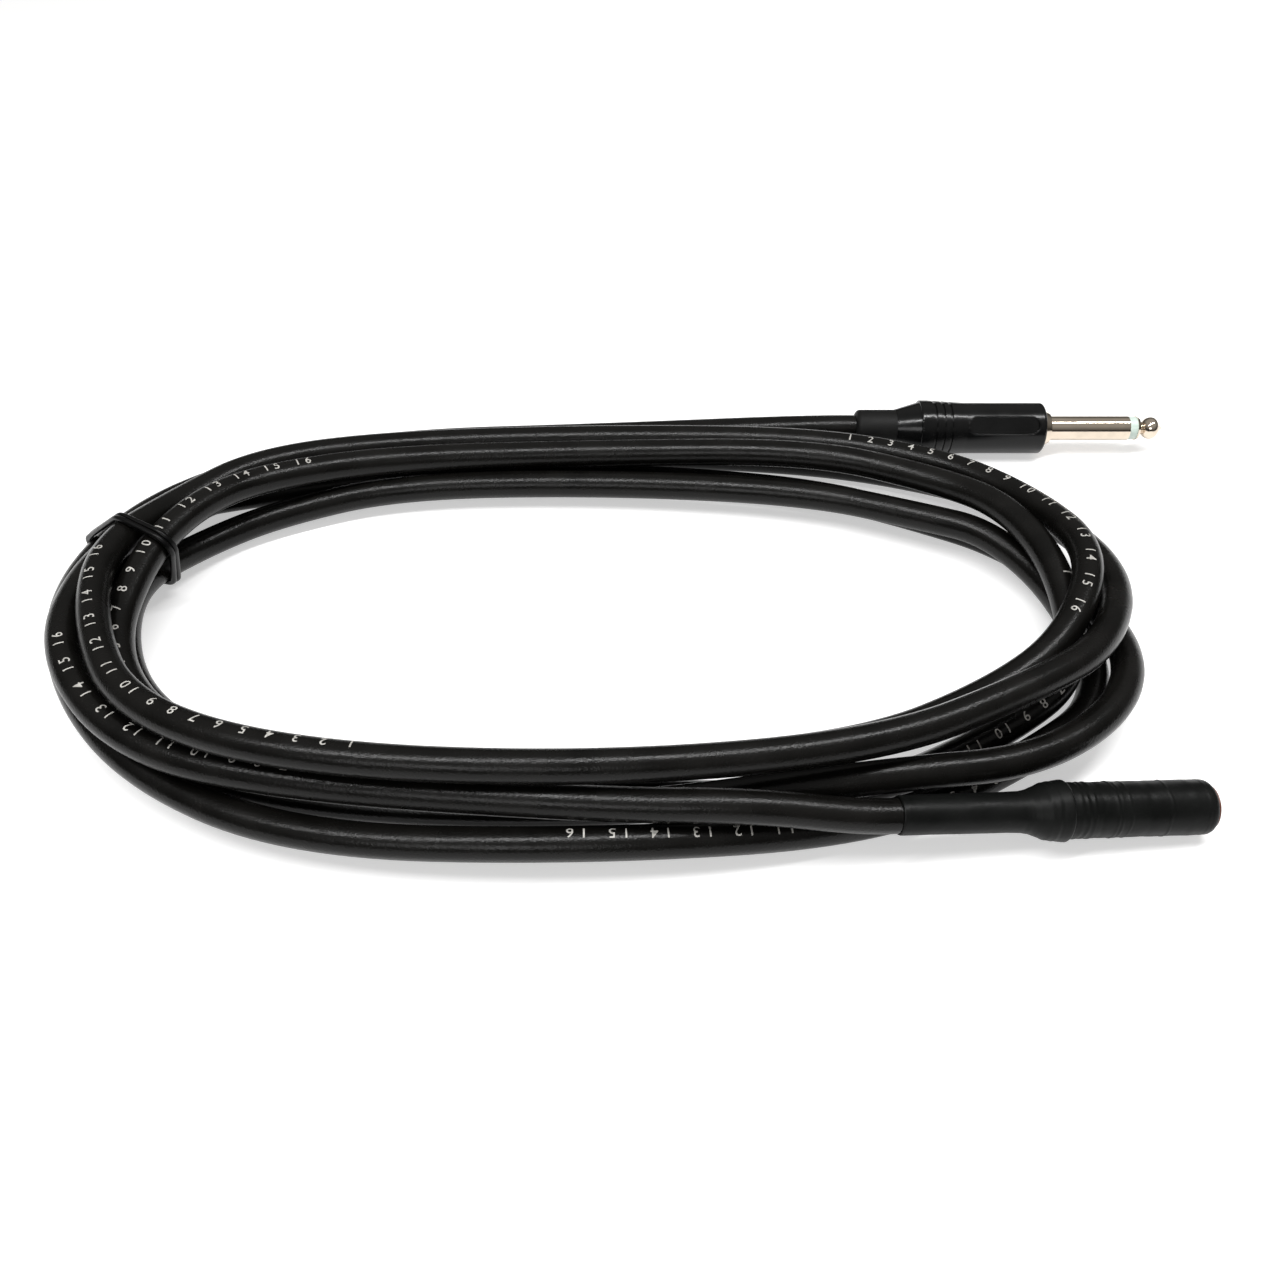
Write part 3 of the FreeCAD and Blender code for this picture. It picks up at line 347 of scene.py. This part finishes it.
def joined_mesh(name, vertices, faces, smooth=True):
    """New piece from vertices and faces."""
    mesh = bpy.data.meshes.new(name)
    mesh.from_pydata(vertices, [], faces)
    mesh.update()
    for polygon in mesh.polygons:
        polygon.use_smooth = smooth
    piece = bpy.data.objects.new(name, mesh)
    bpy.context.scene.collection.objects.link(piece)
    return piece


def crease_height(creases, x, angle):
    """How far the creases of a sleeve stand out at a place on it."""
    out = 0.0
    around = Vector((math.cos(angle), math.sin(angle), 0))
    for k, (middle, width, height, wave) in enumerate(creases):
        drift = wave * noise.noise(around * 1.3 + Vector((0, 0, 7.0 * k)))
        share = 0.75 + 0.7 * noise.noise(around * 1.7 + Vector((3.0, 0, 5.0 * k)))
        out += height * share * math.exp(-((x - middle - drift) / width) ** 2)
    slack = noise.noise(Vector((x * 0.22, around.x * 1.4, around.y * 1.4)))
    fine = noise.noise(Vector((x * 1.1, around.x * 4.0, around.y * 4.0)))
    return out + 0.045 * slack + 0.012 * fine


def turned_skin(name, outline, creases, outside, step=0.22, around=144):
    """Closed sleeve turned round the socket's axis, with creases on the part of it that shows."""
    rows = []
    for (x0, r0), (x1, r1) in zip(outline, outline[1:] + outline[:1]):
        count = max(1, math.ceil(math.hypot(x1 - x0, r1 - r0) / step))
        for k in range(count):
            share = k / count
            rows.append((x0 + (x1 - x0) * share, r0 + (r1 - r0) * share))
    place = socket_matrix()
    vertices = []
    for x, r in rows:
        for k in range(around):
            angle = 2 * math.pi * k / around
            out = r + (crease_height(creases, x, angle) if r > outside(x) else 0)
            vertices.append(place @ Vector((x, out * math.cos(angle), out * math.sin(angle))))
    faces = []
    for row in range(len(rows)):
        after = (row + 1) % len(rows)
        for k in range(around):
            side = (k + 1) % around
            faces.append((row * around + k, after * around + k, after * around + side, row * around + side))
    piece = joined_mesh(name, vertices, faces)
    shape = bmesh.new()
    shape.from_mesh(piece.data)
    bmesh.ops.recalc_face_normals(shape, faces=shape.faces)
    shape.to_mesh(piece.data)
    shape.free()
    return piece


def hull(points):
    """Corners of the convex outline round flat points, counter-clockwise."""
    points = sorted(points)
    outline = []
    for ordered in (points, points[::-1]):
        chain = []
        for p in ordered:
            while len(chain) > 1:
                a = chain[-2]
                b = chain[-1]
                if (b[0] - a[0]) * (p[1] - a[1]) - (b[1] - a[1]) * (p[0] - a[0]) > 0:
                    break
                chain.pop()
            chain.append(p)
        outline += chain[:-1]
    return outline


def tie_shift(inset, height):
    """How far along the cable the leaning tie lies at a place in its plane."""
    return TIE_LEAN[0] + TIE_LEAN[1] * height + TIE_LEAN[2] * inset


def bundle_outline(line, offset):
    """Flat places (inset, height) where the cable crosses the tie's plane, in millimetres."""
    foot = in_frame(oval_point(TIE_ANGLE, 0)) / MM
    inward = (oval_point(TIE_ANGLE, 1) - oval_point(TIE_ANGLE, 0)).normalized()
    along = Vector((0, 0, 1)).cross(inward)
    cuts = []
    for a, b in zip(line, line[1:]):
        reach_a = a / MM - foot
        reach_b = b / MM - foot
        from_a = reach_a.dot(along) - offset - tie_shift(reach_a.dot(inward), reach_a.z)
        from_b = reach_b.dot(along) - offset - tie_shift(reach_b.dot(inward), reach_b.z)
        if from_a * from_b < 0:
            here = reach_a.lerp(reach_b, from_a / (from_a - from_b))
            if abs(here.dot(inward)) < OVAL_HALF_WIDTH / 2:
                cuts.append((here.dot(inward), here.z))
    return foot, inward, along, hull(cuts)


def tie_points(line):
    """Line of the thin tie: two turns pulled round the bundle, with both ends tucked under it."""
    away = CABLE_R + TIE_SLACK + TIE_D / 2
    points = []
    for turn in (-1, 1):
        foot, inward, along, outline = bundle_outline(line, turn * TIE_PITCH / 2)
        count = len(outline)
        first = min(range(count), key=lambda k: outline[k][1])
        for step in range(count):
            here = outline[(first + step) % count]
            before = outline[(first + step - 1) % count]
            after = outline[(first + step + 1) % count]
            a_in = math.atan2(here[1] - before[1], here[0] - before[0]) - math.pi / 2
            a_out = math.atan2(after[1] - here[1], after[0] - here[0]) - math.pi / 2
            sweep = (a_out - a_in) % (2 * math.pi)
            parts = max(2, math.ceil(sweep / math.radians(16)))
            for k in range(parts + 1):
                a = a_in + sweep * k / parts
                share = (step + k / parts) / count
                inset = here[0] + away * math.cos(a)
                height = here[1] + away * math.sin(a)
                shift = turn * TIE_PITCH / 2 + TIE_PITCH * 0.5 * (share - 0.5) + tie_shift(inset, height)
                points.append((foot + inward * inset + Vector((0, 0, height)) + along * shift) * MM)
    return points


def numeral_shape(digit):
    """Flat numeral in millimetres, cut finely enough to bend round the cable."""
    words = bpy.data.curves.new("numeral", "FONT")
    words.body = digit
    words.size = NUMERAL_SIZE
    words.offset = 0.01
    words.align_x = "CENTER"
    words.align_y = "CENTER"
    words.resolution_u = 4
    holder = bpy.data.objects.new("numeral", words)
    flat = bpy.data.meshes.new_from_object(holder)
    shape = bmesh.new()
    shape.from_mesh(flat)
    for step in range(-3, 4):
        parts = shape.verts[:] + shape.edges[:] + shape.faces[:]
        bmesh.ops.bisect_plane(shape, geom=parts, plane_co=(0, 0.4 * step, 0), plane_no=(0, 1, 0))
    shape.verts.index_update()
    vertices = [vertex.co.copy() for vertex in shape.verts]
    faces = [[vertex.index for vertex in face.verts] for face in shape.faces]
    shape.free()
    bpy.data.objects.remove(holder)
    bpy.data.meshes.remove(flat)
    bpy.data.curves.remove(words)
    return vertices, faces


def numerals_on(line):
    """Plain numerals printed in runs along the cable and bent round it, tops to the coil's outside."""
    shapes = {digit: numeral_shape(digit) for digit in "0123456789"}
    row = " ".join(str(number) for number in range(1, LAST_NUMBER + 1))
    way = travelled(line)
    radius = (CABLE_R + INK_LIFT) * MM
    vertices = []
    faces = []
    for run_start, first_lean, last_lean in NUMERAL_RUNS:
        for place, digit in enumerate(row):
            if digit == " ":
                continue
            start = (run_start + place * NUMERAL_PITCH) * MM
            lean = math.radians(first_lean + (last_lean - first_lean) * place / len(row))
            shape, cells = shapes[digit]
            base = len(vertices)
            for spot in shape:
                travel = start + spot.x * MM
                k = min(len(line) - 2, bisect.bisect_right(way, travel) - 1)
                share = (travel - way[k]) / (way[k + 1] - way[k])
                middle = line[k].lerp(line[k + 1], share)
                first = (line[k + 1] - line[k]).normalized()
                second = (line[min(k + 2, len(line) - 1)] - line[min(k + 1, len(line) - 2)]).normalized()
                ahead = first.lerp(second, share).normalized()
                up = (Vector((0, 0, 1)) - ahead * ahead.z).normalized()
                outward = up.cross(ahead)
                angle = lean + spot.y * MM / radius
                vertices.append(middle + (up * math.cos(angle) + outward * math.sin(angle)) * radius)
            for cell in cells:
                faces.append([base + index for index in cell])
    return joined_mesh("length_numerals", vertices, faces, smooth=False)


def panel_edge():
    """Fine raised edge round the barrel's recessed panel."""
    place = plug_matrix() @ Matrix.Rotation(math.radians(PANEL_TURN), 4, "X")
    points = []
    for middle, first in ((PANEL_FRONT - PANEL_HALF, -90), (PANEL_REAR + PANEL_HALF, 90)):
        for step in range(13):
            a = math.radians(first + 15 * step)
            x = middle + PANEL_HALF * math.cos(a)
            y = PANEL_HALF * math.sin(a)
            points.append(place @ Vector((x, y, math.sqrt(BARREL_R ** 2 - y * y))))
    edge = cord_curve("panel_edge", points, PANEL_EDGE_D * MM, smoothness=3)
    spline = edge.data.splines[0]
    spline.use_endpoint_u = False
    spline.use_cyclic_u = True
    edge.data.bevel_resolution = 3
    return edge


def effect_group(name, inputs, outputs):
    """Shader node group with named sockets, and its input and output nodes."""
    tree = bpy.data.node_groups.new(name, "ShaderNodeTree")
    for label, kind, value in inputs:
        socket = tree.interface.new_socket(label, in_out="INPUT", socket_type=kind)
        socket.default_value = value
    for label, kind in outputs:
        tree.interface.new_socket(label, in_out="OUTPUT", socket_type=kind)
    return tree, tree.nodes.new("NodeGroupInput"), tree.nodes.new("NodeGroupOutput")


def noise_at(tree, place, scale, detail, stretch=None):
    """Noise texture node at a place, with its scale from a socket or a number."""
    node = tree.nodes.new("ShaderNodeTexNoise")
    node.inputs["Detail"].default_value = detail
    if stretch:
        mapping = tree.nodes.new("ShaderNodeMapping")
        mapping.inputs["Scale"].default_value = stretch
        tree.links.new(place, mapping.inputs["Vector"])
        place = mapping.outputs["Vector"]
    tree.links.new(place, node.inputs["Vector"])
    if isinstance(scale, (int, float)):
        node.inputs["Scale"].default_value = scale
    else:
        tree.links.new(scale, node.inputs["Scale"])
    return node


def arithmetic(tree, operation, first, second):
    """Math node on two sockets or numbers."""
    node = tree.nodes.new("ShaderNodeMath")
    node.operation = operation
    for socket, value in zip(node.inputs, (first, second)):
        if isinstance(value, (int, float)):
            socket.default_value = value
        else:
            tree.links.new(value, socket)
    return node.outputs[0]


def moulded_grain():
    """Fine leathery grain of a moulded skin: its height, and larger soft patches."""
    tree, given, result = effect_group(
        "moulded grain",
        [
            ("Grains Per Metre", "NodeSocketFloat", 1500.0),
            ("Pebble Share", "NodeSocketFloat", 0.5),
            ("Patches Per Metre", "NodeSocketFloat", 100.0),
        ],
        [("Height", "NodeSocketFloat"), ("Patch", "NodeSocketFloat")],
    )
    place = tree.nodes.new("ShaderNodeTexCoord").outputs["Object"]
    fine = noise_at(tree, place, given.outputs["Grains Per Metre"], 3)
    pebbles = tree.nodes.new("ShaderNodeTexVoronoi")
    tree.links.new(place, pebbles.inputs["Vector"])
    tree.links.new(given.outputs["Grains Per Metre"], pebbles.inputs["Scale"])
    mixed = tree.nodes.new("ShaderNodeMix")
    tree.links.new(given.outputs["Pebble Share"], mixed.inputs[0])
    tree.links.new(fine.outputs[0], mixed.inputs[2])
    tree.links.new(pebbles.outputs["Distance"], mixed.inputs[3])
    broad = noise_at(tree, place, given.outputs["Patches Per Metre"], 4)
    spread = tree.nodes.new("ShaderNodeMapRange")
    spread.inputs[1].default_value = PATCH_FROM_TO[0]
    spread.inputs[2].default_value = PATCH_FROM_TO[1]
    tree.links.new(broad.outputs[0], spread.inputs[0])
    tree.links.new(mixed.outputs[0], result.inputs["Height"])
    tree.links.new(spread.outputs[0], result.inputs["Patch"])
    return tree


def turning_marks():
    """Fine rings that a lathe leaves round the plug's axis."""
    tree, given, result = effect_group(
        "turning marks",
        [("Rings Per Metre", "NodeSocketFloat", 2600.0)],
        [("Height", "NodeSocketFloat")],
    )
    place = tree.nodes.new("ShaderNodeTexCoord").outputs["Object"]
    rings = noise_at(tree, place, given.outputs["Rings Per Metre"], 2, stretch=(1.0, 0.03, 0.03))
    tree.links.new(rings.outputs[0], result.inputs["Height"])
    return tree


def uneven_tone():
    """Colour that wanders between two close ones, with small pale specks of dust."""
    tree, given, result = effect_group(
        "uneven tone",
        [
            ("Patch", "NodeSocketFloat", 0.5),
            ("Main Colour", "NodeSocketColor", (0.01, 0.01, 0.01, 1)),
            ("Second Colour", "NodeSocketColor", (0.02, 0.02, 0.02, 1)),
            ("Dust Share", "NodeSocketFloat", 0.2),
        ],
        [("Colour", "NodeSocketColor")],
    )
    place = tree.nodes.new("ShaderNodeTexCoord").outputs["Object"]
    mixed = tree.nodes.new("ShaderNodeMix")
    mixed.data_type = "RGBA"
    tree.links.new(given.outputs["Patch"], mixed.inputs[0])
    tree.links.new(given.outputs["Main Colour"], mixed.inputs[6])
    tree.links.new(given.outputs["Second Colour"], mixed.inputs[7])
    specks = noise_at(tree, place, DUST_GRAINS, 2)
    sifted = tree.nodes.new("ShaderNodeMapRange")
    sifted.inputs[1].default_value = DUST_FROM_TO[0]
    sifted.inputs[2].default_value = DUST_FROM_TO[1]
    tree.links.new(specks.outputs[0], sifted.inputs[0])
    dust = tree.nodes.new("ShaderNodeMix")
    dust.data_type = "RGBA"
    amount = arithmetic(tree, "MULTIPLY", sifted.outputs[0], given.outputs["Dust Share"])
    tree.links.new(amount, dust.inputs[0])
    tree.links.new(mixed.outputs[2], dust.inputs[6])
    dust.inputs[7].default_value = DUST_COLOUR
    tree.links.new(dust.outputs[2], result.inputs["Colour"])
    return tree


def uneven_gloss():
    """Roughness that wanders between two values with handling."""
    tree, given, result = effect_group(
        "uneven gloss",
        [
            ("Patch", "NodeSocketFloat", 0.5),
            ("Smoothest", "NodeSocketFloat", 0.3),
            ("Roughest", "NodeSocketFloat", 0.4),
        ],
        [("Roughness", "NodeSocketFloat")],
    )
    spread = tree.nodes.new("ShaderNodeMapRange")
    tree.links.new(given.outputs["Patch"], spread.inputs[0])
    tree.links.new(given.outputs["Smoothest"], spread.inputs[3])
    tree.links.new(given.outputs["Roughest"], spread.inputs[4])
    tree.links.new(spread.outputs[0], result.inputs["Roughness"])
    return tree


def placed_group(tree, group, values):
    """Node group in a material, with its own values."""
    node = tree.nodes.new("ShaderNodeGroup")
    node.node_tree = group
    for label, value in values.items():
        node.inputs[label].default_value = value
    return node


def finish_material(name, look, groups):
    """Material of one finish, made from the shared effects."""
    material = bpy.data.materials.new(name)
    material.use_nodes = True
    tree = material.node_tree
    shader = tree.nodes["Principled BSDF"]
    shader.inputs["Metallic"].default_value = look.get("metallic", 0.0)
    shader.inputs["Specular IOR Level"].default_value = look.get("specular", 0.5)
    grain = placed_group(tree, groups["grain"], {
        "Grains Per Metre": look["grain"],
        "Pebble Share": look["pebbles"],
        "Patches Per Metre": look["patches"],
    })
    tone = placed_group(tree, groups["tone"], {
        "Main Colour": (*look["colours"][0], 1),
        "Second Colour": (*look["colours"][1], 1),
        "Dust Share": look.get("dust", 0.0),
    })
    gloss = placed_group(tree, groups["gloss"], {
        "Smoothest": look["roughness"][0],
        "Roughest": look["roughness"][1],
    })
    tree.links.new(grain.outputs["Patch"], tone.inputs["Patch"])
    tree.links.new(grain.outputs["Patch"], gloss.inputs["Patch"])
    tree.links.new(tone.outputs["Colour"], shader.inputs["Base Color"])
    tree.links.new(gloss.outputs["Roughness"], shader.inputs["Roughness"])
    relief = tree.nodes.new("ShaderNodeBump")
    relief.inputs["Strength"].default_value = RELIEF_STRENGTH
    relief.inputs["Distance"].default_value = look["depth"] * MM
    if look.get("turned"):
        rings = placed_group(tree, groups["rings"], {"Rings Per Metre": look["grain"]})
        tree.links.new(rings.outputs["Height"], relief.inputs["Height"])
    else:
        tree.links.new(grain.outputs["Height"], relief.inputs["Height"])
    tree.links.new(relief.outputs["Normal"], shader.inputs["Normal"])
    return material


def floor_material():
    """Pale floor that shows nearly white to the camera and in reflections, and keeps the shadow."""
    material = bpy.data.materials.new("pale floor")
    material.use_nodes = True
    tree = material.node_tree
    shader = tree.nodes["Principled BSDF"]
    shader.inputs["Base Color"].default_value = FLOOR_COLOUR
    shader.inputs["Roughness"].default_value = 0.7
    shader.inputs["Specular IOR Level"].default_value = 0.1
    shader.inputs["Emission Color"].default_value = (1, 1, 1, 1)
    rays = tree.nodes.new("ShaderNodeLightPath")
    seen = arithmetic(tree, "MAXIMUM", rays.outputs["Is Camera Ray"], rays.outputs["Is Glossy Ray"])
    seen = arithmetic(tree, "MAXIMUM", seen, rays.outputs["Is Transmission Ray"])
    tree.links.new(arithmetic(tree, "MULTIPLY", seen, FLOOR_GLOW), shader.inputs["Emission Strength"])
    return material


def softbox(name, place, size, power):
    """Rectangular studio lamp that points at the middle of the part."""
    lamp = bpy.data.lights.new(name, "AREA")
    lamp.shape = "RECTANGLE"
    lamp.size = size[0]
    lamp.size_y = size[1]
    lamp.energy = power
    holder = bpy.data.objects.new(name, lamp)
    holder.location = place
    holder.rotation_euler = (-Vector(place)).to_track_quat("-Z", "Y").to_euler()
    bpy.context.scene.collection.objects.link(holder)


def floor_and_light():
    """Pale floor and plain soft studio light."""
    bpy.ops.mesh.primitive_plane_add(size=FLOOR_SIZE, location=(0, 0, 0))
    floor = bpy.context.object
    floor.name = "floor"
    floor.data.materials.append(floor_material())
    world = bpy.data.worlds.new("studio")
    bpy.context.scene.world = world
    world.use_nodes = True
    tree = world.node_tree
    way = tree.nodes.new("ShaderNodeSeparateXYZ")
    tree.links.new(tree.nodes.new("ShaderNodeTexCoord").outputs["Generated"], way.inputs[0])
    ceiling = tree.nodes.new("ShaderNodeMapRange")
    for slot, value in enumerate(WORLD_HEIGHTS + WORLD_STRENGTHS, start=1):
        ceiling.inputs[slot].default_value = value
    tree.links.new(way.outputs["Z"], ceiling.inputs[0])
    tree.links.new(ceiling.outputs[0], tree.nodes["Background"].inputs["Strength"])
    tree.nodes["Background"].inputs["Color"].default_value = WORLD_COLOUR
    for name, (place, size, power) in SOFTBOXES.items():
        softbox(name, place, size, power)


def neck_bore(x):
    """Distance from the axis past which the neck's sleeve is its outside."""
    start, end, slope = NECK_TAPER
    return NECK_BORE_R + max(0, min(x, end) - start) * slope


camera_at_photo()
stations = cable_stations()
cable = cord_curve("cable", pushed_out(stations), CABLE_D * MM)
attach(cable, "cable")
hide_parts("cable_coil")
cable_line = line_of(cable)
tie = cord_curve("bundle_tie", tie_points(cable_line), TIE_D * MM, smoothness=6)
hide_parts("cable_tie")
neck = turned_skin("neck_sleeve", NECK_SLEEVE, NECK_CREASES, neck_bore)
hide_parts("socket_neck_shrink")
body = turned_skin("body_sleeve", BODY_SLEEVE, BODY_CREASES, lambda x: BODY_BORE_R)
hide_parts("socket_body_shrink")
bead = turned_skin("mouth_bead", MOUTH_BEAD, [], lambda x: BEAD_BORE_R)
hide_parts("socket_seal")
numerals = numerals_on(cable_line)
edge = panel_edge()

groups = {"grain": moulded_grain(), "rings": turning_marks(), "tone": uneven_tone(), "gloss": uneven_gloss()}
finishes = {name: finish_material(name, look, groups) for name, look in FINISHES.items()}
made = [
    (cable, "jacket"),
    (tie, "tie"),
    (neck, "shrink"),
    (body, "shrink"),
    (bead, "sealant"),
]
for piece, slot in made:
    piece.data.materials.append(finishes[slot])
    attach(piece, "cable")
numerals.data.materials.append(finishes["numeral ink"])
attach(numerals, "cable")
edge.data.materials.append(finishes["black_metal"])
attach(edge, "plug_shell")
for part in frame["record"]["subparts"]:
    node = frame["nodes"][part["node"]]
    for place in node.material_slots:
        place.material = finishes[part["material_slot"]]
floor_and_light()
bpy.context.scene.view_settings.view_transform = "Standard"
